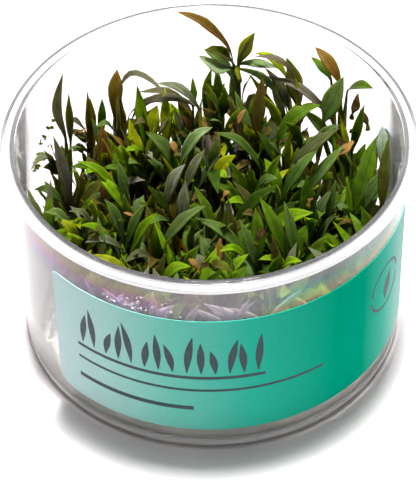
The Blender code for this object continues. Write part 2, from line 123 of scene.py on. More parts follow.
# Label
LABEL_LOW = 7.1
LABEL_HIGH = 46.0
LABEL_LEFT = -52.5
LABEL_RIGHT = 112.5
LABEL_LIFT = 0.05
LABEL_THICKNESS = 0.13
LABEL_CORNER = 4.0
LABEL_COLUMNS = 90
CORNER_COLUMNS = 8
TOP_TRIM = 0.3
# The label's colour along its length: teal, paling towards both ends in a painted glare
LABEL_TONES_AND_GLARE = ((0.0, (200, 224, 226)), (0.12, (172, 218, 212)), (0.24, (116, 204, 188)),
               (0.38, (52, 186, 162)), (0.55, (0, 164, 132)), (0.62, (0, 164, 132)),
               (0.69, (84, 194, 172)), (0.76, (166, 216, 208)), (1.0, (204, 224, 218)))

# Stress colours of the moulded wall, painted as the rainbow it shows in reflected light, on the front only,
# from the label's top edge up to the flange, each with the X where it starts to show and the X where it is
# full
PAINTED_STRESS_RIGHT = ((0.0, (0.98, 0.57, 0.3)), (0.14, (1.0, 0.9, 0.38)), (0.28, (0.37, 0.95, 0.54)),
                (0.44, (0.34, 0.79, 0.87)), (0.64, (0.75, 0.7, 0.95)), (0.9, (0.93, 0.9, 0.96)))
PAINTED_STRESS_LEFT = ((0.0, (0.62, 0.6, 0.86)), (0.2, (0.88, 0.5, 0.95)), (0.38, (1.0, 0.6, 0.68)),
               (0.54, (1.0, 0.9, 0.5)), (0.72, (0.7, 0.78, 1.0)), (0.95, (0.95, 0.88, 1.0)))
PAINTED_STRESS_SIDES = ((PAINTED_STRESS_RIGHT, 6, 22), (PAINTED_STRESS_LEFT, -6, -20))
STRESS_WOBBLE = 5
STRESS_HEIGHTS = (LABEL_HIGH + 2, CUP_HEIGHT + 2)
# Where the painted veil and the painted stress colours show: the front, by Y, and the band's heights
BAND_FRONT = (-12, -26)
BAND_BOTTOM = (LABEL_HIGH - 4, LABEL_HIGH - 1)
BAND_TOP = (CUP_HEIGHT - LIP_HEIGHT, CUP_HEIGHT - LIP_HEIGHT - 1)

# Print on the label: a row of leaves from one angle to another, with their lengths and leans in turn,
# rules of (start, end, height, half width), and a ring of (angle, height, radius) in two arcs, in half turns
PRINTED_ROW = (-41, 13, 27.5)
PRINTED_LEAVES = ((10.5, 0.12), (13.0, -0.1), (8.5, 0.2), (12.0, 0.05), (14.0, -0.16), (9.5, 0.1),
                  (12.5, -0.05), (10.0, -0.2), (13.5, 0.12), (11.0, 0.0), (8.5, -0.14), (12.5, 0.16),
                  (10.5, -0.08), (13.0, 0.06))
PRINTED_HALF_WIDTH = 0.95
PRINTED_RULES = ((-43, 34, 21.5, 0.4), (-43, 15, 26.0, 0.5), (-43, -6, 15.0, 0.65))
PRINTED_RING = (62, 31, 7.0)
RING_ARCS = ((0.05, 0.95), (1.05, 1.95))
RING_HALF_WIDTH = 0.35
RULE_STEPS = 40
ARC_STEPS = 24
BLADE_STEPS = 14
INK_RISE = 0.03
INK_SINK = 0.02

# Drops: their middle angle and its spread, lowest height and its spread, and sizes
DROPS = 60
DROP_ANGLES = (-24, 4.5)
DROP_HEIGHTS = (47.0, 2.0)
DROP_SIZES = (0.1, 0.32)
DROP_LENGTH = 1.15
DROP_THICKNESS = 0.6
DROP_LIFT = 0.01
DROP_RINGS = 4
DROP_SIDES = 12

# Gel: it creeps up the wall in a meniscus, sinks a little into the plastic, and its top is slightly uneven
GEL_TOP = 13.0
MENISCUS = 0.9
MENISCUS_RISE = 0.5
GEL_SINK = 0.04
GEL_LIFT = 0.02
GEL_RINGS = (0.2, 0.4, 0.55, 0.7, 0.8, 0.88, 0.93)
MENISCUS_RINGS = (0, 0.4, 0.7, 0.9, 1)
UNEVENNESS = 0.35
UNEVEN_SCALE = 0.12

# A leaf's make-up: where its petiole and its blade have rings, and how many columns half its width has
PETIOLE_RINGS = (0.0, 0.25, 0.5, 0.75)
BLADE_RINGS = (0.0, 0.07, 0.15, 0.25, 0.36, 0.47, 0.58, 0.69, 0.79, 0.88, 0.95, 1.0)
LEAF_COLUMNS = 3
YOUNG_PETIOLE_RINGS = (0.0, 0.5)
YOUNG_BLADE_RINGS = (0.0, 0.12, 0.28, 0.45, 0.62, 0.78, 0.91, 1.0)
YOUNG_LEAF_COLUMNS = 2
WIDEST_AT = 0.45
BASE_WIDTH = 0.26
PETIOLE_HALF = 0.6
YOUNG_SLENDER = 0.75
LEAF_THICKNESS = 0.3
RIB_GROOVE = 0.12

# How leaves differ, each from least to most
FOLDS = (0.05, 0.42)
RIPPLES = (0.0, 0.09)
WAVES = (1.5, 3.0)
TWISTS = (-0.35, 0.35)
DROOPS = (0.0, 0.3)
SHADES = (0.85, 1.2)
# Leaves grown as young, most of them deep in the mass, reach darker: partly tone that differs at random,
# partly painted shade
YOUNG_SHADES = (0.6, 1.1)

# The CAD's leaves, grown on: blades reach further down and are straighter, and the highest tip stays in
# the CAD's box. Leaves whose tips stand above the mass keep their shape, and are a little wider.
HIGHEST_TIP = 62.85
MASS_TOP = 46
BLADE_DOWN = 0.34
STRAIGHTENED = 0.45
FULLNESS = 1.05
TALL_FULLNESS = 0.25

# Young leaves of each plantlet. Their tips lie under a canopy that rises at the back.
YOUNG_LEAVES = 9
YOUNG_REACH = (1.5, 12)
YOUNG_BLADES = (17, 28)
YOUNG_DROPS = (0.35, 0.98)
YOUNG_WIDTHS = (2.0, 3.9)
LOWEST_BLADE = 15.5
CANOPY = 42
CANOPY_RISE = 6
CANOPY_DEPTH = 17

# Undergrowth: low leaves all over the gel
LOW_LEAVES = 760
LOW_RADIUS = 43
LOW_REACH = (1, 7)
LOW_HEIGHTS = (6, 20)
LOW_WIDTHS = (1.8, 3.6)
LOW_TONES = ("darkgreen", "olive", "brownolive", "rotten", "darkgreen", "olive")

# Roots
ROOTS_EACH = 5
ROOT_STEPS = 11
ROOT_SIDES = 5
ROOT_RADIUS = 0.24
ROOT_FALLS = (0.5, 1.6)
ROOT_WANDER = 0.5
ROOT_STRIDES = (1.0, 1.7)


def srgb(red, green, blue):
    """A colour given as it looks on a screen, 0 to 255, as the linear values that shaders take."""
    def linear(value):
        share = value / 255
        return share / 12.92 if share <= 0.04045 else ((share + 0.055) / 1.055) ** 2.4
    return (linear(red), linear(green), linear(blue))


GEL_SHADOW = srgb(104, 98, 78)
# Grey of the leaves' bloom, partly wax and partly painted sheen
BLOOM_AND_SHEEN = srgb(172, 170, 168)
PETIOLE_COLOUR = srgb(146, 150, 20)
ROOT_COLOUR = srgb(206, 190, 150)

# Tones of a leaf as they look on a screen, near its base and towards its tip, and how much grey bloom and
# painted sheen it has
TONES = {
    "bright": ((72, 104, 2), (116, 152, 10), 0.02),
    "green": ((46, 70, 2), (80, 110, 6), 0.03),
    "darkgreen": ((28, 44, 2), (50, 74, 4), 0.02),
    "yellowgreen": ((104, 116, 2), (144, 150, 10), 0.02),
    "olive": ((48, 50, 2), (78, 76, 8), 0.06),
    "brownolive": ((56, 46, 4), (86, 70, 14), 0.08),
    "bronze": ((90, 62, 6), (120, 82, 24), 0.08),
    "purple": ((60, 50, 22), (84, 74, 52), 0.3),
    "purplegrey": ((64, 60, 30), (92, 88, 64), 0.4),
    "greyolive": ((46, 54, 3), (76, 82, 14), 0.25),
    "greygreen": ((46, 70, 3), (78, 104, 14), 0.22),
    "grey": ((46, 56, 6), (80, 88, 32), 0.5),
    "sheen": ((42, 70, 2), (76, 106, 12), 0.2),
    "aqua": ((84, 114, 44), (126, 150, 96), 0.3),
    "paleblue": ((92, 108, 76), (140, 156, 142), 0.5),
    "darkpurple": ((32, 28, 14), (64, 56, 40), 0.3),
    "dead": ((110, 76, 30), (170, 130, 74), 0.0),
    # Pale grey for leaves behind the front band: painted reflection, the veil the wall lays over them
    "painted_veil": ((104, 100, 104), (186, 182, 186), 0.3),
    "rotten": ((36, 22, 8), (70, 46, 22), 0.0),
}

# Tones of the leaves that stand out, by where their tips are over the cup's floor, in millimetres
TONES_OF_TIPS = {
    "bronze": ((-8, 44), (27, 36), (-23, 39), (-30, 34), (-27, 23)),
    "yellowgreen": ((12, 43), (-11, 36), (-37, -6), (-31, -17)),
    "greygreen": ((-1, 42), (34, 30), (-37, 20), (-16, 18), (1, 15), (-1, -8), (-41, -3)),
    "green": ((-2, 42), (26, 36), (41, 20), (29, 35), (-1, 39), (0, 42), (-39, 2), (18, 10), (-4, 0),
              (11, -8), (12, -5), (28, 25), (17, 18), (39, 22), (42, 13), (37, -5)),
    "aqua": ((7, 41), (1, 19)),
    "greyolive": ((12, 42), (-35, -5), (-4, -11), (33, 17), (-44, 4)),
    "olive": ((20, 41), (-35, 28), (5, -24), (44, 5)),
    "grey": ((16, 39), (-11, 37), (-1, 9), (-6, 7), (-6, 3), (-27, -16), (-31, -14), (-16, -25), (22, -17)),
    "purple": ((14, 39), (-1, 31), (-18, 38), (-36, 27)),
    "brownolive": ((14, 38),),
    "bright": ((-34, 29), (-18, 36), (-20, 17), (2, 4), (-33, 10), (-29, 6), (-13, -7), (-32, -10),
               (-5, -23), (2, -20), (9, -20), (22, -22)),
    "darkgreen": ((-27, 36), (1, 13), (2, 2), (17, 0), (24, 2), (5, -26)),
    "sheen": ((-44, 6), (17, 3), (-20, 2), (-23, 8), (-16, -7), (-26, -4), (7, -12), (18, -7), (31, 1),
              (27, 11), (34, 15), (33, 20), (44, 1)),
    "purplegrey": ((-14, 12),),
    "paleblue": ((43, 14),),
    "darkpurple": ((-40, 18),),
}
TIP_REACH = 3.2

# Leaves that grow beside the CAD's: start on a stem, base and middle of the blade, tip, width and tone
MORE_LEAVES = (
    ((8, 40, 43), (6.9, 41, 46.5), (3.4, 41, 51.0), (-0.7, 40, 53.2), 3.6, "olive"),
    ((8, 40, 42), (6.5, 41, 45.5), (2.2, 39, 48.0), (-2.1, 40, 51.0), 4.6, "aqua"),
    ((8, 39, 43), (7.5, 41, 46.5), (12.6, 40, 48.2), (18.6, 40, 46.0), 2.8, "aqua"),
    ((8, 39, 43), (7.6, 41, 46.8), (9.9, 41, 52.0), (12.2, 42, 56.8), 2.4, "olive"),
    ((23, 33, 38), (21.8, 36, 47.5), (17.5, 38, 51.2), (11.5, 40, 50.4), 2.2, "purple"),
    ((-23, 32, 34), (-22.6, 34, 45.0), (-18.5, 36, 49.3), (-10.0, 32, 44.5), 2.0, "purplegrey"),
    ((-2, 27, 32), (-2.5, 30, 42.0), (-7.0, 33, 46.5), (-13.0, 35, 46.6), 2.6, "grey"),
)

# Leaves that lie on the inside of the wall: how many, first and last angle, first and last height,
# turns from the level, lengths, widths and tones
WALL_LEAVES = (
    # Pale grey leaves behind the front band, their tone a painted reflection
    (22, (-42, 66), (41.5, 46.5), (0.5, 2.6), (10, 15), (2.2, 3.6), ("painted_veil",)),
    (18, (-88, -57), (16, 40), (0.6, 2.5), (8, 15), (2.2, 3.6), ("darkgreen", "olive", "darkpurple")),
    (14, (-122, -108), (36, 45), (0.0, 3.1), (0.8, 2.2), (0.4, 0.9), ("rotten",)),
)
WALL_ROOM = 0.9
WALL_SPOTS = (-0.7, -0.5, -0.05, 0.5)

# Dead leaves, by place in millimetres, tone and size
DEAD_BITS = (
    (7.4, 27, 40, "dead", 4.5), (33.9, 14.5, 41, "dead", 6.0), (33.4, -11, 41, "dead", 3.5),
    (-8.9, 17, 41, "dead", 4.0), (-32, 23, 41, "dead", 3.5), (-4.3, -26, 43, "dead", 4.5),
    (-1.5, -27, 43, "rotten", 4.0), (24.9, 0, 39, "dead", 4.0), (37.2, 28, 43, "rotten", 5.0),
    (39.2, 25, 42, "rotten", 5.0), (33, 17, 41, "rotten", 5.0), (-1, 26, 40, "dead", 3.0),
    (36.5, 22, 40, "rotten", 4.5), (-20, -5, 39, "dead", 3.0), (12, -14, 40, "rotten", 4.0),
    (4, 3, 38, "dead", 3.0),
)


# Shapes

def mesh_object(name, points, faces, finish, slot, tones=None, places=None):
    """A piece from points in millimetres, with a tone for each point and leaf coordinates if given."""
    data = bpy.data.meshes.new(name)
    data.from_pydata([tuple(c * METRES for c in p) for p in points], [], faces)
    if tones is not None:
        layer = data.color_attributes.new("tone", "FLOAT_COLOR", "POINT")
        layer.data.foreach_set("color", [c for tone in tones for c in tone])
    if places is not None:
        coordinates = data.uv_layers.new(name="leaf")
        corners = [0] * len(data.loops)
        data.loops.foreach_get("vertex_index", corners)
        coordinates.data.foreach_set("uv", [c for corner in corners for c in places[corner]])
    data.materials.append(finish)
    data.shade_smooth()
    made = bpy.data.objects.new(name, data)
    bpy.context.scene.collection.objects.link(made)
    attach(made, "root")
    return made


def rounded(corners):
    """A profile of (radius, height) points from corners of (radius, height, rounding, steps)."""
    points = []
    count = len(corners)
    for i, (radius, height, rounding, steps) in enumerate(corners):
        here = Vector((radius, height))
        if not rounding:
            points.append(here)
            continue
        back = Vector(corners[i - 1][:2]) - here
        ahead = Vector(corners[(i + 1) % count][:2]) - here
        longest = min(back.length, ahead.length)
        back.normalize()
        ahead.normalize()
        half = back.angle(ahead) / 2
        cut = rounding / math.tan(half)
        start, end = here + back * cut, here + ahead * cut
        centre = here + (back + ahead).normalized() * (rounding / math.sin(half))
        if longest > 2 * cut + 4 * SUPPORT:
            points.append(start + back * SUPPORT)
        first = math.atan2(start.y - centre.y, start.x - centre.x)
        turn = math.atan2(end.y - centre.y, end.x - centre.x) - first
        turn = (turn + math.pi) % FULL_TURN - math.pi
        for step in range(steps + 1):
            angle = first + turn * step / steps
            points.append(centre + Vector((math.cos(angle), math.sin(angle))) * rounding)
        if longest > 2 * cut + 4 * SUPPORT:
            points.append(end + ahead * SUPPORT)
    return points


def turned(profile, sides):
    """Points and faces of a closed profile, spun round the Z axis. Points on the axis are shared."""
    points, faces, rows = [], [], []
    for radius, height in profile:
        if radius < TINY:
            rows.append([len(points)] * sides)
            points.append((0, 0, height))
            continue
        rows.append(list(range(len(points), len(points) + sides)))
        for i in range(sides):
            angle = FULL_TURN * i / sides
            points.append((radius * math.cos(angle), radius * math.sin(angle), height))
    for j, row in enumerate(rows):
        following = rows[(j + 1) % len(rows)]
        for i in range(sides):
            k = (i + 1) % sides
            face = [row[i], row[k], following[k], following[i]]
            face = [p for n, p in enumerate(face) if p != face[n - 1]]
            if len(face) > 2:
                faces.append(tuple(face))
    return points, faces


def close_strip(faces, start, count, around):
    """Faces of a closed body: sides between rings of the same number of points, and an end on each side."""
    for i in range(count - 1):
        first = start + around * i
        for a in range(around):
            b = (a + 1) % around
            faces.append((first + a, first + b, first + around + b, first + around + a))
    faces.append(tuple(range(start + around - 1, start - 1, -1)))
    faces.append(tuple(range(start + around * (count - 1), start + around * count)))


def outward(made):
    """Turns a closed piece's faces so that they all face out."""
    mesh = bmesh.new()
    mesh.from_mesh(made.data)
    bmesh.ops.recalc_face_normals(mesh, faces=mesh.faces)
    mesh.to_mesh(made.data)
    mesh.free()
    made.data.shade_smooth()


def wall_radius(height):
    share = (height - FOOT_ROUND) / (CUP_HEIGHT - FOOT_ROUND)
    return WALL_RADIUS_FOOT + (WALL_RADIUS_TOP - WALL_RADIUS_FOOT) * share


def inner_radius(height):
    return wall_radius(height) - WALL_THICKNESS


# Materials

class Graph:
    """A node tree, with short calls for the nodes that the materials use. They return output sockets."""

    def __init__(self, tree):
        self.nodes, self.links = tree.nodes, tree.links

    def put(self, value, socket):
        """Links an output socket to an input, or sets a number or colour on the input."""
        if isinstance(value, bpy.types.NodeSocket):
            self.links.new(value, socket)
        elif socket.type == "RGBA":
            socket.default_value = (*value, 1.0)
        else:
            socket.default_value = value

    def add(self, kind, inputs, **settings):
        node = self.nodes.new(kind)
        for name, value in settings.items():
            setattr(node, name, value)
        for name, value in inputs.items():
            self.put(value, node.inputs[name])
        return node

    def place(self):
        return self.add("ShaderNodeTexCoord", {}).outputs["Object"]

    def parts(self, vector):
        outputs = self.add("ShaderNodeSeparateXYZ", {"Vector": vector}).outputs
        return outputs["X"], outputs["Y"], outputs["Z"]

    def noise(self, vector, **inputs):
        return self.add("ShaderNodeTexNoise", {"Vector": vector, **inputs}).outputs["Fac"]

    def ramp(self, value, stops):
        """Colours by a value, from stops of (value, colour), where a plain number is a grey."""
        node = self.add("ShaderNodeValToRGB", {"Fac": value})
        elements = node.color_ramp.elements
        while len(elements) < len(stops):
            elements.new(0.5)
        for element, (position, colour) in zip(elements, stops):
            element.position = position
            element.color = (*colour, 1.0) if isinstance(colour, tuple) else (colour, colour, colour, 1.0)
        return node.outputs["Color"]

    def span(self, value, start, end, low=0.0, high=1.0, kind="LINEAR"):
        """A number that goes from low to high as the value goes from start to end."""
        inputs = {"Value": value, "From Min": start, "From Max": end, "To Min": low, "To Max": high}
        return self.add("ShaderNodeMapRange", inputs, interpolation_type=kind).outputs["Result"]

    def level(self, value, start, end, **rest):
        """The same for a coordinate, with start and end in millimetres."""
        return self.span(value, start * METRES, end * METRES, **rest)

    def calc(self, operation, *values, clamp=False):
        inputs = dict(enumerate(values))
        return self.add("ShaderNodeMath", inputs, operation=operation, use_clamp=clamp).outputs[0]

    def vector(self, operation, *values, **inputs):
        inputs = {**dict(enumerate(values)), **inputs}
        return self.add("ShaderNodeVectorMath", inputs, operation=operation).outputs

    def mix(self, factor, one, two, blend="MIX"):
        inputs = {"Factor": factor, "A": one, "B": two}
        return self.add("ShaderNodeMix", inputs, data_type="RGBA", blend_type=blend).outputs["Result"]

    def bump(self, height, strength, distance):
        inputs = {"Height": height, "Strength": strength, "Distance": distance}
        return self.add("ShaderNodeBump", inputs).outputs["Normal"]


def new_material(name, **inputs):
    """A material, its graph and its shader. The shader's inputs are named with _ for a space."""
    made = bpy.data.materials.new(name)
    made.use_nodes = True
    graph = Graph(made.node_tree)
    shader = graph.nodes["Principled BSDF"]
    for key, value in inputs.items():
        graph.put(value, shader.inputs[key.replace("_", " ")])
    return made, graph, shader


def let_lamps_through(graph, shader, tint):
    """Light from the lamps passes straight through clear plastic, in place of a noisy caustic."""
    path = graph.add("ShaderNodeLightPath", {})
    through = graph.add("ShaderNodeBsdfTransparent", {"Color": tint})
    mix = graph.add("ShaderNodeMixShader", {0: path.outputs["Is Shadow Ray"], 1: shader.outputs[0],
                                            2: through.outputs[0]})
    graph.put(mix.outputs[0], graph.nodes["Material Output"].inputs["Surface"])


def tint_and_painted_light_of_plastic(graph, place, reach):
    """Soft painted stress colours and veil on the front of the wall above the label; painted shade in lines
    of flange, crest, foot.

    The reach is 0 just outside the wall and 1 at the flange's edge.
    """
    x, y, z = graph.parts(place)
    wobble = graph.noise(place, Scale=110.0, Detail=2.0)
    height = graph.calc("MULTIPLY_ADD", wobble, STRESS_WOBBLE * METRES, z)
    band = graph.level(height, *STRESS_HEIGHTS)
    # Painted reflection: a violet-grey veil over the band above the label, on the front side only
    front = graph.level(y, *BAND_FRONT, kind="SMOOTHSTEP")
    in_band = graph.calc("MULTIPLY", graph.level(z, *BAND_BOTTOM), graph.level(z, *BAND_TOP))
    painted_veil = graph.calc("MULTIPLY", front, in_band)
    colour = graph.mix(painted_veil, CLEAR_TINT, PAINTED_VEIL_TINT)
    # Painted stress colours: the rainbow of reflected light, in the same front band
    for stops, start, end in PAINTED_STRESS_SIDES:
        amount = graph.calc("MULTIPLY", graph.level(x, start, end, kind="SMOOTHSTEP"), painted_veil)
        colour = graph.mix(amount, colour, graph.ramp(band, stops))
    # Painted shade: grey lines along the flange, one set in front and one behind
    painted_lip_lines = graph.mix(graph.level(y, *LIP_BLEND), graph.ramp(reach, FRONT_LIP_PAINTED_LINES), graph.ramp(reach, BACK_LIP_PAINTED_LINES))
    colour = graph.mix(1.0, colour, painted_lip_lines, "MULTIPLY")
    # Painted shade along the wall's crest
    colour = graph.mix(graph.level(z, *CREST), colour, CREST_PAINTED_SHADE, "MULTIPLY")
    # Painted shade over the foot where it meets the floor
    return graph.mix(graph.level(z, *FOOT_SHADE_HEIGHTS), colour, FOOT_PAINTED_SHADE, "MULTIPLY")


def cup_material():
    """Clear moulded plastic with a little haze, more in the flange and foot, and soft painted stress colours,
    veil and dark lines.
    """
    made, graph, shader = new_material("clear_plastic", IOR=1.46)
    place = graph.place()
    flat = graph.vector("MULTIPLY", place, (1.0, 1.0, 0.0))["Vector"]
    radius = graph.vector("LENGTH", flat)["Value"]
    reach = graph.level(radius, WALL_RADIUS_TOP + CLEAR_FROM, FLANGE_RADIUS)
    height = graph.parts(place)[2]
    above_foot = graph.level(height, *FOOT_HAZE, low=FOOT_CLEARNESS)
    clear = graph.calc("MULTIPLY", graph.ramp(reach, CLEARNESS), above_foot)
    graph.put(clear, shader.inputs["Transmission Weight"])
    mist = graph.noise(place, Scale=45.0, Detail=1.0)
    graph.put(graph.ramp(mist, ((0.4, 0.02), (0.7, 0.09))), shader.inputs["Roughness"])
    graph.put(tint_and_painted_light_of_plastic(graph, place, reach), shader.inputs["Base Color"])
    let_lamps_through(graph, shader, graph.ramp(graph.level(height, 0, SHADOW_HEIGHT), PLASTIC_SHADOW))
    haze = graph.add("ShaderNodeVolumeAbsorption", {"Color": (0.5, 0.51, 0.54), "Density": 10.0})
    graph.put(haze.outputs["Volume"], graph.nodes["Material Output"].inputs["Volume"])
    return made


def clouded_material(name, stops, scale, detail, **inputs):
    """A material whose base colour varies softly between two stops of a noise."""
    made, graph, shader = new_material(name, **inputs)
    cloud = graph.noise(graph.place(), Scale=scale, Detail=detail)
    graph.put(graph.ramp(cloud, stops), shader.inputs["Base Color"])
    return made, graph, shader


def water_material():
    stops = ((0.3, (0.94, 0.95, 0.97)), (0.7, 1))
    return clouded_material("water_drop", stops, 800.0, 2.0, Transmission_Weight=0.75, IOR=1.33,
                            Roughness=0.03)[0]


def gel_material():
    stops = ((0.3, srgb(196, 194, 180)), (0.7, srgb(226, 225, 216)))
    made, graph, shader = clouded_material("nutrient_gel", stops, 90.0, 3.0, Transmission_Weight=0.38,
                                           IOR=1.34, Roughness=0.12)
    let_lamps_through(graph, shader, GEL_SHADOW)
    return made


def root_material():
    stops = ((0.35, srgb(168, 148, 104)), (0.65, srgb(222, 212, 182)))
    return clouded_material("root", stops, 400.0, 2.0, Roughness=0.55)[0]


def grained_material(name, colour, deeper):
    stops = ((0.3, deeper), (0.7, colour))
    return clouded_material(name, stops, 900.0, 3.0, Roughness=0.5, Specular_IOR_Level=0.2)[0]


def leaf_material():
    """Waxy leaf: its tone, mottled, with a midrib, fine parallel veins and a grey bloom in streaks, partly
    painted sheen.
    """
    made, graph, shader = new_material(
        "leaf", Roughness=0.4, Specular_IOR_Level=0.09, Specular_Tint=(0.95, 1.0, 0.55),
        Subsurface_Weight=0.25, Subsurface_Radius=(0.8, 1.0, 0.02), Subsurface_Scale=0.0008)
    place = graph.place()
    tone = graph.add("ShaderNodeAttribute", {}, attribute_name="tone")
    leaf = graph.add("ShaderNodeUVMap", {}, uv_map="leaf").outputs["UV"]

    mottle = graph.noise(place, Scale=520.0, Detail=4.0, Roughness=0.6)
    shade = graph.span(mottle, 0.3, 0.7, 0.66, 1.25)
    varied = graph.vector("SCALE", tone.outputs["Color"], Scale=shade)["Vector"]

    stretched = graph.add("ShaderNodeMapping", {"Vector": leaf, "Scale": (15.0, 1.8, 1.0)}).outputs["Vector"]
    apart = graph.vector("MULTIPLY_ADD", place, (150.0, 150.0, 150.0), stretched)["Vector"]
    streaks = graph.ramp(graph.noise(apart, Scale=1.3, Detail=3.0, Roughness=0.65), ((0.38, 0), (0.66, 1)))
    # Grey bloom in streaks, partly wax bloom and partly painted sheen
    with_bloom_and_sheen = graph.mix(graph.calc("MULTIPLY", tone.outputs["Alpha"], streaks, clamp=True), varied, BLOOM_AND_SHEEN)

    inputs = {"Vector": leaf, "Scale": 7.0, "Distortion": 0.6}
    veins = graph.add("ShaderNodeTexWave", inputs, bands_direction="X").outputs["Fac"]
    from_rib = graph.calc("ABSOLUTE", graph.calc("SUBTRACT", graph.parts(leaf)[0], 0.5))
    rib = graph.ramp(from_rib, ((0.0, 1), (0.035, 0.6), (0.07, 0)))
    ribbed = graph.mix(rib, with_bloom_and_sheen, (0.6, 0.66, 0.45), "MULTIPLY")
    veined = graph.mix(1.0, ribbed, graph.ramp(veins, ((0.1, 0.8), (0.6, 1))), "MULTIPLY")
    graph.put(veined, shader.inputs["Base Color"])
    height = graph.calc("MULTIPLY_ADD", veins, 0.25, mottle)
    graph.put(graph.bump(height, 0.4, 0.00025), shader.inputs["Normal"])
    return made


def label_material():
    """Coated paper, teal, paling towards both ends in a painted glare, with a fine grain."""
    made, graph, shader = new_material("label_teal", Roughness=0.45, Specular_IOR_Level=0.0)
    place = graph.place()
    x, y = graph.parts(place)[:2]
    bearing = graph.calc("ARCTAN2", x, graph.calc("MULTIPLY", y, -1.0))
    share = graph.span(bearing, math.radians(LABEL_LEFT), math.radians(LABEL_RIGHT))
    # Teal with a painted glare towards both ends
    teal = graph.ramp(share, tuple((along, srgb(*colour)) for along, colour in LABEL_TONES_AND_GLARE))
    fibre = graph.noise(place, Scale=900.0, Detail=3.0)
    grain = graph.ramp(fibre, ((0.3, 0.93), (0.7, 1)))
    graph.put(graph.mix(1.0, teal, grain, "MULTIPLY"), shader.inputs["Base Color"])
    graph.put(graph.bump(fibre, 0.08, 0.0001), shader.inputs["Normal"])
    return made


# Cup, gel and label

def make_cup():
    lip_foot = CUP_HEIGHT - LIP_HEIGHT
    flange = CUP_HEIGHT - FLANGE_DROP
    under = flange - LIP_THICKNESS
    lip_inside = FLANGE_RADIUS - LIP_THICKNESS
    profile = rounded([
        (inner_radius(CUP_HEIGHT), CUP_HEIGHT, 0.25, 4),
        (WALL_RADIUS_TOP, CUP_HEIGHT, LIP_ROUND, 4),
        (WALL_RADIUS_TOP + 0.15, flange, 0.12, 3),
        (GROOVE_RADIUS - GROOVE_DEPTH, flange, FINE_ROUND, 2),
        (GROOVE_RADIUS, flange - GROOVE_DEPTH, FINE_ROUND, 2),
        (GROOVE_RADIUS + GROOVE_DEPTH, flange, FINE_ROUND, 2),
        (BEAD_RADIUS - BEAD_HALF, flange, FINE_ROUND, 2),
        (BEAD_RADIUS - BEAD_HALF / 2, flange + BEAD_RISE, FINE_ROUND, 2),
        (BEAD_RADIUS + BEAD_HALF / 2, flange + BEAD_RISE, FINE_ROUND, 2),
        (BEAD_RADIUS + BEAD_HALF, flange - EDGE_DROP, FINE_ROUND, 2),
        (FLANGE_RADIUS, flange - EDGE_DROP, 0.3, 5),
        (FLANGE_RADIUS, lip_foot, LIP_ROUND, 4),
        (lip_inside, lip_foot, LIP_ROUND, 4),
        (lip_inside, under, LIP_ROUND, 3),
        (wall_radius(under), under, 0.5, 4),
        (wall_radius(0), 0, FOOT_CORNER, 10),
        (0, 0, 0, 0),
        (0, FLOOR_THICKNESS, 0, 0),
        (inner_radius(FLOOR_THICKNESS), FLOOR_THICKNESS, FOOT_ROUND - WALL_THICKNESS, 8),
    ])
    made = mesh_object("cup_body", *turned(profile, CUP_SIDES), cup_material(), "cup_plastic")
    outward(made)
    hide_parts("cup")


def make_gel():
    low = FLOOR_THICKNESS + GEL_LIFT
    edge = inner_radius(GEL_TOP) + GEL_SINK
    top = [(edge * share, GEL_TOP) for share in GEL_RINGS]
    rise = [(edge - MENISCUS * (1 - share), GEL_TOP + MENISCUS_RISE * share ** 2) for share in MENISCUS_RINGS]
    corner = rounded([
        (edge, GEL_TOP, 0, 0),
        (inner_radius(FLOOR_THICKNESS) + GEL_SINK, low, FOOT_ROUND - WALL_THICKNESS, 6),
        (0, low, 0, 0)])
    profile = [(0, GEL_TOP), *top, *rise, *[tuple(point) for point in corner[1:]]]
    points, faces = turned(profile, CUP_SIDES)
    moved = []
    for x, y, z in points:
        if abs(z - GEL_TOP) < TINY:
            z += UNEVENNESS * noise.noise(Vector((x, y, 0)) * UNEVEN_SCALE)
        moved.append((x, y, z))
    made = mesh_object("gel_body", moved, faces, gel_material(), "gel")
    outward(made)
    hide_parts("gel")


def on_wall(angle, height, lift):
    """A point at an angle round the cup, lifted off the wall."""
    turn = math.radians(angle)
    radius = wall_radius(height) + lift
    return (radius * math.sin(turn), -radius * math.cos(turn), height)


def degrees_each(radius):
    """The angle that one millimetre takes up at a radius."""
    return math.degrees(1 / radius)


def label_angles():
    """The angles of the label's columns, closer together in its rounded corners."""
    corner = LABEL_CORNER * degrees_each(wall_radius(LABEL_LOW))
    into = [corner * (1 - math.cos(k * math.pi / (2 * CORNER_COLUMNS))) for k in range(CORNER_COLUMNS)]
    first, last = LABEL_LEFT + into[-1], LABEL_RIGHT - into[-1]
    middle = [first + (last - first) * k / LABEL_COLUMNS for k in range(1, LABEL_COLUMNS)]
    return [LABEL_LEFT + step for step in into] + middle + [LABEL_RIGHT - step for step in reversed(into)]


def make_label():
    points, faces = [], []
    angles = label_angles()
    shares = (0.0, 0.25, 0.5, 0.75, 1.0)
    for angle in angles:
        into = min(angle - LABEL_LEFT, LABEL_RIGHT - angle) / degrees_each(wall_radius(LABEL_LOW))
        short = LABEL_CORNER - into
        trim = LABEL_CORNER - math.sqrt(max(LABEL_CORNER ** 2 - short ** 2, 0)) if short > 0 else 0
        bottom, top = LABEL_LOW + trim, LABEL_HIGH - TOP_TRIM * trim
        for lift, order in ((LABEL_LIFT + LABEL_THICKNESS, shares), (LABEL_LIFT, reversed(shares))):
            points += [on_wall(angle, bottom + (top - bottom) * share, lift) for share in order]
    close_strip(faces, 0, len(angles), 2 * len(shares))
    made = mesh_object("label_sheet", points, faces, label_material(), "label_paper")
    made.data.materials.append(grained_material("label_back", srgb(184, 206, 198), srgb(170, 194, 186)))
    outward(made)
    for face in made.data.polygons:
        centre = face.center
        if face.normal.dot(Vector((centre.x, centre.y, 0)).normalized()) < -0.5:
            face.material_index = 1
    made.data.set_sharp_from_angle(angle=SHARP_ANGLE)
    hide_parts("label")


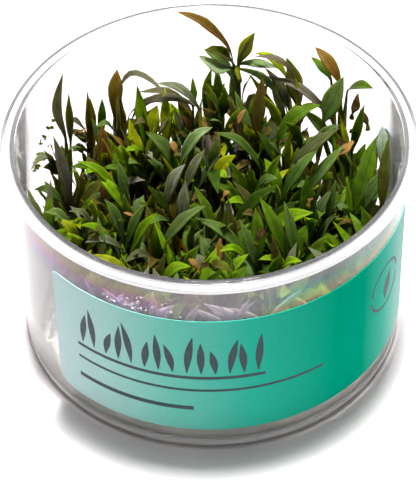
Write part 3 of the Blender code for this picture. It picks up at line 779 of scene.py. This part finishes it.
def ink_strip(points, faces, stations):
    """Adds a closed strip of ink on the label, through stations of (angle, height, half width)."""
    start = len(points)
    degree = degrees_each(WALL_RADIUS_TOP)
    paper = LABEL_LIFT + LABEL_THICKNESS
    shares = (-1, -0.5, 0, 0.5, 1)
    for i, (angle, height, half) in enumerate(stations):
        before, after = stations[max(i - 1, 0)], stations[min(i + 1, len(stations) - 1)]
        ahead = Vector(((after[0] - before[0]) / degree, after[1] - before[1])).normalized()
        side = Vector((-ahead.y, ahead.x)) * half
        for lift, order in ((paper + INK_RISE, shares), (paper - INK_SINK, reversed(shares))):
            points += [on_wall(angle + side.x * share * degree, height + side.y * share, lift)
                       for share in order]
    close_strip(faces, start, len(stations), 2 * len(shares))


def ink_blade(points, faces, angle, height, lean, length, half):
    """A lance-shaped blade of ink that rises from a foot and leans over as it goes."""
    stations = []
    degree = degrees_each(WALL_RADIUS_TOP)
    for k in range(BLADE_STEPS + 1):
        share = k / BLADE_STEPS
        bend = lean * share ** 1.6
        rise = length * share * (1 - 0.3 * abs(lean) * share)
        fullness = 0.12 + 0.88 * math.sin(math.pi * min(share * 1.02, 1.0)) ** 1.1
        width = half * fullness if share < 1 else 0.02
        stations.append((angle + bend * length * degree, height + rise, width))
    ink_strip(points, faces, stations)


def make_print():
    """A plain row of upright leaves with rules under it, and a ring with one leaf at the right."""
    points, faces = [], []
    first, last, foot = PRINTED_ROW
    for i, (length, lean) in enumerate(PRINTED_LEAVES):
        angle = first + (last - first) * i / (len(PRINTED_LEAVES) - 1)
        ink_blade(points, faces, angle, foot, lean, length, PRINTED_HALF_WIDTH)
    for start, end, height, half in PRINTED_RULES:
        ink_strip(points, faces, [(start + (end - start) * k / RULE_STEPS, height, half)
                                  for k in range(RULE_STEPS + 1)])
    angle, height, radius = PRINTED_RING
    degree = degrees_each(WALL_RADIUS_TOP)
    for first, last in RING_ARCS:
        turns = [math.pi * (first + (last - first) * k / ARC_STEPS) for k in range(ARC_STEPS + 1)]
        ink_strip(points, faces, [(angle + radius * math.cos(turn) * degree, height + radius * math.sin(turn),
                                   RING_HALF_WIDTH) for turn in turns])
    ink_blade(points, faces, angle, height - radius * 0.65, 0.25, radius * 1.3, radius * 0.22)
    ink = grained_material("ink", srgb(58, 78, 84), srgb(46, 64, 70))
    made = mesh_object("label_print", points, faces, ink, "label_paper")
    outward(made)
    made.data.set_sharp_from_angle(angle=SHARP_ANGLE)


def make_drops():
    """Small drops of water on the outside of the wall, above the label at the left."""
    points, faces = [], []
    rng = random.Random(SEED)
    degree = degrees_each(WALL_RADIUS_TOP)
    for _ in range(DROPS):
        angle = rng.gauss(*DROP_ANGLES)
        height = DROP_HEIGHTS[0] + abs(rng.gauss(0, DROP_HEIGHTS[1]))
        size = rng.uniform(*DROP_SIZES)
        start = len(points)
        for ring in range(DROP_RINGS):
            slope = math.pi / 2 * ring / DROP_RINGS
            spread = size * math.cos(slope)
            lift = size * DROP_THICKNESS * math.sin(slope) + DROP_LIFT
            for k in range(DROP_SIDES):
                turn = FULL_TURN * k / DROP_SIDES
                points.append(on_wall(angle + spread * math.cos(turn) * degree,
                                      height + spread * math.sin(turn) * DROP_LENGTH, lift))
        top = len(points)
        points.append(on_wall(angle, height, size * DROP_THICKNESS + DROP_LIFT))
        for k in range(DROP_SIDES):
            following = (k + 1) % DROP_SIDES
            for low in range(start, top - DROP_SIDES, DROP_SIDES):
                high = low + DROP_SIDES
                faces.append((low + k, low + following, high + following, high + k))
            faces.append((top - DROP_SIDES + k, top - DROP_SIDES + following, top))
        faces.append(tuple(start + k for k in range(DROP_SIDES - 1, -1, -1)))
    outward(mesh_object("water_drops", points, faces, water_material(), "cup_plastic"))


# Leaves

def smooth(value):
    value = min(max(value, 0.0), 1.0)
    return value * value * (3 - 2 * value)


def hermite(one, two, lead, follow, share):
    a, b = share * share, share * share * share
    return (one * (2 * b - 3 * a + 1) + lead * (b - 2 * a + share)
            + two * (3 * a - 2 * b) + follow * (b - a))


class Growth:
    """Points, faces, tones and leaf coordinates that build up into one piece."""

    def __init__(self):
        self.points, self.faces, self.tones, self.places = [], [], [], []

    def loft(self, rings, tones, places):
        """A closed body from rings with the same number of points."""
        start = len(self.points)
        for ring, tone, place in zip(rings, tones, places):
            self.points += ring
            self.tones += tone
            self.places += place
        close_strip(self.faces, start, len(rings), len(rings[0]))

    def into_piece(self, name, finish, slot):
        return mesh_object(name, self.points, self.faces, finish, slot, self.tones, self.places)


def blade_share(along):
    """The half-width of a blade as a share of its widest, from its base to its tip."""
    if along < WIDEST_AT:
        return BASE_WIDTH + (1 - BASE_WIDTH) * smooth(along / WIDEST_AT) ** 0.8
    return max(1 - ((along - WIDEST_AT) / (1 - WIDEST_AT)) ** 1.5, 0.0)


def leaf_stations(foot, base, middle, tip, heading, droop, young):
    """Points along a leaf, with their shares of the petiole and of the blade, which is -1 before it."""
    petiole, first, last = (base - foot).length, (middle - base).length, (tip - middle).length
    lead_foot = (UP + heading * 0.1).normalized() * petiole
    through_base = (middle - foot).normalized()
    through_middle = (tip - base).normalized()
    lead_tip = ((tip - middle).normalized() + droop).normalized() * last
    stations = [(hermite(foot, base, lead_foot, through_base * petiole, share), share, -1.0)
                for share in (YOUNG_PETIOLE_RINGS if young else PETIOLE_RINGS)]
    for along in (YOUNG_BLADE_RINGS if young else BLADE_RINGS):
        if along < WIDEST_AT:
            point = hermite(base, middle, through_base * first, through_middle * first, along / WIDEST_AT)
        else:
            share = (along - WIDEST_AT) / (1 - WIDEST_AT)
            point = hermite(middle, tip, through_middle * last, lead_tip, share)
        stations.append((point, 1.0, along))
    return stations


def grow_leaf(growth, rng, foot, base, middle, tip, width, face, tone, young=False, curl=0.0):
    """One leaf: its petiole from the crown to the blade's base, and its blade out to the tip."""
    columns = YOUNG_LEAF_COLUMNS if young else LEAF_COLUMNS
    fold = rng.uniform(*FOLDS)
    ripple = rng.uniform(*RIPPLES)
    waves = rng.uniform(*WAVES)
    phase = rng.uniform(0, FULL_TURN)
    twist = rng.uniform(*TWISTS)
    patchy = rng.uniform(0.0, 1.0)
    # Young ones reach darker: partly painted shade deep in the mass
    shade = rng.uniform(*(YOUNG_SHADES if young else SHADES))
    droop = UP * (-rng.uniform(*DROOPS) - curl)
    heading = Vector((tip.x - foot.x, tip.y - foot.y, 0))
    heading = heading.normalized() if heading.length > 0.5 else Vector((0, -1, 0))
    left = UP.cross(heading)
    stations = leaf_stations(foot, base, middle, tip, heading, droop, young)

    rings, tones, places = [], [], []
    near_base, near_tip, bloom_and_sheen = TONES[tone]
    base_tone, tip_tone = Vector(srgb(*near_base)), Vector(srgb(*near_tip))
    for i, (point, petiole_share, along) in enumerate(stations):
        before = stations[max(i - 1, 0)][0]
        after = stations[min(i + 1, len(stations) - 1)][0]
        ahead = (after - before).normalized()
        upper = ahead.cross(left).normalized()
        normal = upper.lerp(face, smooth(along / 0.35))
        normal = (normal - ahead * normal.dot(ahead)).normalized()
        side = normal.cross(ahead)
        if along > 0:
            turn = Matrix.Rotation(twist * along, 3, ahead)
            normal, side = turn @ normal, turn @ side
        if along < 0:
            slender = YOUNG_SLENDER if young else 1.0
            half = slender * (PETIOLE_HALF * (1.6 - petiole_share) + width / 2 * BASE_WIDTH * petiole_share)
            thick, crease, wave = half * 1.3, 0.0, 0.0
        else:
            half = max(width / 2 * blade_share(along), 0.03)
            thick = LEAF_THICKNESS * (1.6 - 1.2 * smooth(along / 0.5)) * (0.35 + 0.65 * min(half, 1.0))
            crease = fold * smooth(along / 0.2)
            wave = ripple * width * math.sin(waves * FULL_TURN * along + phase)
        share = min(smooth(along) * (0.6 + 0.8 * patchy), 1.0)
        colour = base_tone.lerp(tip_tone, share) * shade
        if along < 0:
            colour = colour * 0.6 + Vector(PETIOLE_COLOUR) * 0.5
        ring, place_ring = [], []
        for side_of_blade in (1, -1):
            for k in range(-columns, columns):
                u = k / columns * side_of_blade
                edge = abs(u)
                rise = half * crease * edge + wave * u * edge
                rise += side_of_blade * thick / 2 * math.sqrt(max(1 - u * u, 0.0))
                if along >= 0 and side_of_blade > 0:
                    rise -= RIB_GROOVE * thick * (1 - edge) ** 4
                ring.append(tuple(point + side * (u * half) + normal * rise))
                place_ring.append(((u + 1) / 2, max(along, 0.0)))
        rings.append(ring)
        # The alpha carries the bloom and painted sheen, growing towards the tip
        tones.append([(*colour, bloom_and_sheen * smooth(along / 0.6) * (0.5 + 0.7 * patchy))] * len(ring))
        places.append(place_ring)
    growth.loft(rings, tones, places)


def grow_root(growth, rng, foot, heading):
    """A thin root that wanders down through the gel and then along the floor of the cup."""
    at = Vector((foot.x, foot.y, GEL_TOP - 0.2))
    out = Vector((math.cos(heading), math.sin(heading), 0))
    side = out.cross(UP)
    fall = rng.uniform(*ROOT_FALLS)
    rings = []
    angles = [FULL_TURN * k / ROOT_SIDES for k in range(ROOT_SIDES)]
    around = [side * math.cos(angle) + UP * math.sin(angle) for angle in angles]
    for i in range(ROOT_STEPS + 1):
        radius = ROOT_RADIUS * (1 - 0.75 * i / ROOT_STEPS)
        rings.append([tuple(at + direction * radius) for direction in around])
        wander = Vector((rng.uniform(-ROOT_WANDER, ROOT_WANDER), rng.uniform(-ROOT_WANDER, ROOT_WANDER), 0))
        at = at + (out + wander - UP * fall).normalized() * rng.uniform(*ROOT_STRIDES)
        at.z = max(at.z, FLOOR_THICKNESS + 0.4)
        room = inner_radius(at.z) - 0.8
        flat = math.hypot(at.x, at.y)
        if flat > room:
            at.x, at.y = at.x * room / flat, at.y * room / flat
    tones = [[(*ROOT_COLOUR, 0.0)] * ROOT_SIDES] * len(rings)
    growth.loft(rings, tones, [[(0.5, 0.5)] * ROOT_SIDES] * len(rings))


def read_plantlet(node):
    """The foot and the leaves of a CAD plantlet: each leaf's blade base, middle, tip, width and face.

    A tip has three neighbours, the corners of the widest section, and theirs are the blade's base.
    """
    names, places = {}, []
    rename = []
    for vertex in node.data.vertices:
        key = tuple(vertex.co)
        if key not in names:
            names[key] = len(places)
            places.append(Vector(key) / METRES)
        rename.append(names[key])
    near = [set() for _ in places]
    for face in node.data.polygons:
        corners = [rename[v] for v in face.vertices]
        for i, one in enumerate(corners):
            near[one].add(corners[i - 1])
            near[corners[i - 1]].add(one)
    leaves, used = [], set()
    for tip, widest in enumerate(near):
        if len(widest) != 3:
            continue
        base = set().union(*(near[v] for v in widest)) - widest - {tip}
        if len(base) != 3:
            continue
        used |= widest | base | {tip}
        one, two, ridge = sorted(widest, key=lambda v: -max(
            (places[v] - places[other]).length for other in widest))
        middle = (places[one] + places[two]) / 2
        leaves.append({
            "tip": places[tip],
            "base": sum((places[v] for v in base), Vector()) / 3,
            "middle": middle,
            "width": (places[one] - places[two]).length,
            "face": (places[ridge] - middle).normalized(),
        })
    crown = [places[v] for v in range(len(places)) if v not in used]
    low = min(p.z for p in crown)
    ring = [p for p in crown if p.z < low + 0.5]
    return sum(ring, Vector()) / len(ring), leaves


def tone_of(tip, rng):
    """The tone of the leaf that stands out here, or else one common here; yellow-green at the back is a
    painted backlight.
    """
    if tip.z > 34:
        spots = [((Vector(spot) - tip.to_2d()).length, tone)
                 for tone, spots in TONES_OF_TIPS.items() for spot in spots]
        distance, tone = min(spots)
        if distance < TIP_REACH:
            return tone
    left = smooth(0.5 - tip.x / 60)
    # Towards the back, yellow-green rises and dark green falls: painted backlight glow
    back = smooth(tip.y / 30)
    choices = {"green": 3.0 - 1.6 * left, "bright": 2.0 - 0.9 * left, "darkgreen": 2.5 - left - back,
               "yellowgreen": 0.4 + 1.8 * back, "olive": 1.2 + 2.6 * left, "greygreen": 0.6, "sheen": 1.0,
               "grey": 0.5 * left, "greyolive": 0.5 + 0.6 * left, "bronze": 0.5 * left,
               "brownolive": 0.3 + 1.8 * left}
    return rng.choices(list(choices), weights=list(choices.values()))[0]


def inside(point, spare):
    return math.hypot(point.x, point.y) < inner_radius(min(point.z, CUP_HEIGHT)) - spare


def young_leaf(rng, foot):
    """Base, middle, tip and width of a young leaf, or None if it would not fit in the cup."""
    angle = rng.uniform(0, FULL_TURN)
    out = Vector((math.cos(angle), math.sin(angle), 0))
    reach = rng.uniform(*YOUNG_REACH)
    blade = rng.uniform(*YOUNG_BLADES)
    drop = blade * rng.uniform(*YOUNG_DROPS)
    canopy = CANOPY + CANOPY_RISE * smooth((foot.y - 5) / 30)
    tip = Vector((foot.x, foot.y, canopy - CANOPY_DEPTH * rng.random() ** 1.1)) + out * reach
    base = tip - out * min(math.sqrt(blade ** 2 - drop ** 2), reach * 0.85) - UP * drop
    base.z = max(base.z, LOWEST_BLADE)
    middle = base.lerp(tip, WIDEST_AT) + out * rng.uniform(-1.0, 0.5) + UP * rng.uniform(0.0, 1.8)
    if not (inside(tip, 1.2) and inside(middle, 1.5)):
        return None
    return base, middle, tip, rng.uniform(*YOUNG_WIDTHS)


def grow_old_leaves(growth, rng, foot, leaves):
    """The CAD's leaves, grown on from a plantlet's foot."""
    for one in leaves:
        base, middle, tip = one["base"], one["middle"], one["tip"]
        tip.z = min(tip.z, HIGHEST_TIP)
        low = 1 - smooth((tip.z - MASS_TOP) / 5)
        base = base.lerp(foot, low * BLADE_DOWN * min((base - foot).length / 30, 1.0))
        middle = middle.lerp(base.lerp(tip, WIDEST_AT), low * STRAIGHTENED)
        around = Vector((base.x - foot.x, base.y - foot.y, 0))
        start = foot + (around.normalized() * 0.8 if around.length > 0.1 else Vector())
        full = FULLNESS + TALL_FULLNESS * smooth((tip.z - MASS_TOP) / 8) * (tip.z < CUP_HEIGHT)
        grow_leaf(growth, rng, start, base, middle, tip, one["width"] * full, one["face"], tone_of(tip, rng))


def grow_young_leaves(growth, rng, foot):
    for _ in range(YOUNG_LEAVES):
        shape = young_leaf(rng, foot)
        if shape is None:
            continue
        base, middle, tip, width = shape
        face = (UP + Vector((rng.uniform(-0.6, 0.6), rng.uniform(-0.9, 0.3), 0))).normalized()
        start = foot + Vector((rng.uniform(-0.8, 0.8), rng.uniform(-0.8, 0.8), 0))
        grow_leaf(growth, rng, start, base, middle, tip, width, face, tone_of(tip, rng), young=True)


def make_plantlets(leaf, rng):
    root = root_material()
    roots = Growth()
    for name in sorted(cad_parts):
        if not name.startswith("plantlet"):
            continue
        foot, leaves = read_plantlet(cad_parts[name])
        foot.z = GEL_TOP - 0.6
        growth = Growth()
        grow_old_leaves(growth, rng, foot, leaves)
        grow_young_leaves(growth, rng, foot)
        made = growth.into_piece(name + "_grown", leaf, "leaves")
        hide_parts(name)
        for _ in range(ROOTS_EACH):
            grow_root(roots, rng, foot, rng.uniform(0, FULL_TURN))
    roots.into_piece("roots", root, "leaves")


def make_dead_leaves(leaf, rng):
    dead = Growth()
    for x, y, z, tone, size in DEAD_BITS:
        at = Vector((x, y, z))
        heading = rng.uniform(0, FULL_TURN)
        out = Vector((math.cos(heading), math.sin(heading), 0))
        base = at - out * size * 0.4
        tip = at + out * size * 0.5 + UP * rng.uniform(-0.4, 0.8) * size
        face = (UP + out * rng.uniform(-0.7, 0.7)).normalized()
        grow_leaf(dead, rng, base - UP * 1.5 - out * 0.4, base, at + UP * 0.5, tip, size * 0.5, face, tone,
                  young=True, curl=1.2)
    dead.into_piece("dead_leaves", leaf, "leaves")


def make_more_leaves(leaf, rng):
    more = Growth()
    for *places, width, tone in MORE_LEAVES:
        foot, base, middle, tip = (Vector(place) for place in places)
        grow_leaf(more, rng, foot, base, middle, tip, width, (UP - tip.normalized() * 0.2).normalized(), tone)
    for count, angles, heights, turns, lengths, widths, tones in WALL_LEAVES:
        for _ in range(count):
            turn = rng.uniform(*turns)
            length = rng.uniform(*lengths)
            angle, height = rng.uniform(*angles), rng.uniform(*heights)
            spots = []
            for along in WALL_SPOTS:
                up = height + along * length * math.sin(turn)
                aside = angle + along * length * math.cos(turn) * degrees_each(inner_radius(up))
                spots.append(Vector(on_wall(aside, up, -WALL_THICKNESS - WALL_ROOM)))
            inward = -Vector((spots[2].x, spots[2].y, 0)).normalized()
            grow_leaf(more, rng, *spots, rng.uniform(*widths), inward, rng.choice(tones), young=True)
    more.into_piece("more_leaves", leaf, "leaves")


def make_undergrowth(leaf, rng):
    low = Growth()
    for _ in range(LOW_LEAVES):
        angle, radius = rng.uniform(0, FULL_TURN), LOW_RADIUS * math.sqrt(rng.random())
        foot = Vector((radius * math.cos(angle), radius * math.sin(angle), GEL_TOP - 0.4))
        turn = rng.uniform(0, FULL_TURN)
        out = Vector((math.cos(turn), math.sin(turn), 0))
        tip = foot + out * rng.uniform(*LOW_REACH) + UP * rng.uniform(*LOW_HEIGHTS)
        if not inside(tip, 1.0):
            continue
        base = foot.lerp(tip, 0.3) - out * 0.8
        middle = base.lerp(tip, WIDEST_AT) - out * 0.4
        face = (UP * 0.6 - out + Vector((rng.uniform(-0.4, 0.4), rng.uniform(-0.4, 0.4), 0))).normalized()
        grow_leaf(low, rng, foot, base, middle, tip, rng.uniform(*LOW_WIDTHS), face, rng.choice(LOW_TONES),
                  young=True)
    low.into_piece("undergrowth", leaf, "leaves")


def make_leaves():
    leaf = leaf_material()
    rng = random.Random(SEED)
    make_plantlets(leaf, rng)
    make_dead_leaves(leaf, rng)
    make_more_leaves(leaf, rng)
    make_undergrowth(leaf, rng)


# Stage

def make_floor():
    data = bpy.data.meshes.new("floor")
    corners = [(x * FLOOR_HALF, y * FLOOR_HALF, FLOOR_LEVEL) for x, y in ((-1, -1), (1, -1), (1, 1), (-1, 1))]
    data.from_pydata(corners, [], [(0, 1, 2, 3)])
    floor = bpy.data.objects.new("floor", data)
    bpy.context.scene.collection.objects.link(floor)
    data.materials.append(new_material("floor_white", Base_Color=FLOOR_COLOUR, Roughness=0.7,
                                       Specular_IOR_Level=0.1)[0])


def make_light():
    scene = bpy.context.scene
    world = bpy.data.worlds.new("studio")
    scene.world = world
    world.use_nodes = True
    graph = Graph(world.node_tree)
    direction = graph.add("ShaderNodeTexCoord", {}).outputs["Generated"]
    sky = graph.ramp(graph.vector("DOT_PRODUCT", direction, SKY_TILT)["Value"], SKY)
    background = graph.nodes["Background"]
    graph.put(sky, background.inputs["Color"])
    graph.put(SKY_STRENGTH, background.inputs["Strength"])
    lamp = bpy.data.lights.new("key", "AREA")
    lamp.size = LAMP_SIZE
    lamp.energy = LAMP_POWER
    holder = bpy.data.objects.new("key", lamp)
    holder.location = LAMP_PLACE
    holder.rotation_euler = (Vector(LAMP_AIM) - Vector(LAMP_PLACE)).to_track_quat("-Z", "Y").to_euler()
    scene.collection.objects.link(holder)


def make_camera():
    scene = bpy.context.scene
    data = bpy.data.cameras.new("camera")
    data.lens = CAMERA_LENS
    data.sensor_width = 36.0
    data.clip_end = 10.0
    camera = bpy.data.objects.new("camera", data)
    pitch = Matrix.Rotation(math.radians(CAMERA_PITCH), 4, "X")
    roll = Matrix.Rotation(math.radians(CAMERA_ROLL), 4, "Z")
    camera.matrix_world = Matrix.Translation(CAMERA_PLACE) @ (pitch @ roll)
    scene.collection.objects.link(camera)
    scene.camera = camera
    scene.view_settings.view_transform = "Standard"
    scene.cycles.max_bounces = 40
    scene.cycles.diffuse_bounces = 4
    scene.cycles.glossy_bounces = 40
    scene.cycles.transmission_bounces = 40
    scene.cycles.transparent_max_bounces = 16


make_cup()
make_gel()
make_label()
make_print()
make_drops()
make_leaves()
make_floor()
make_light()
make_camera()
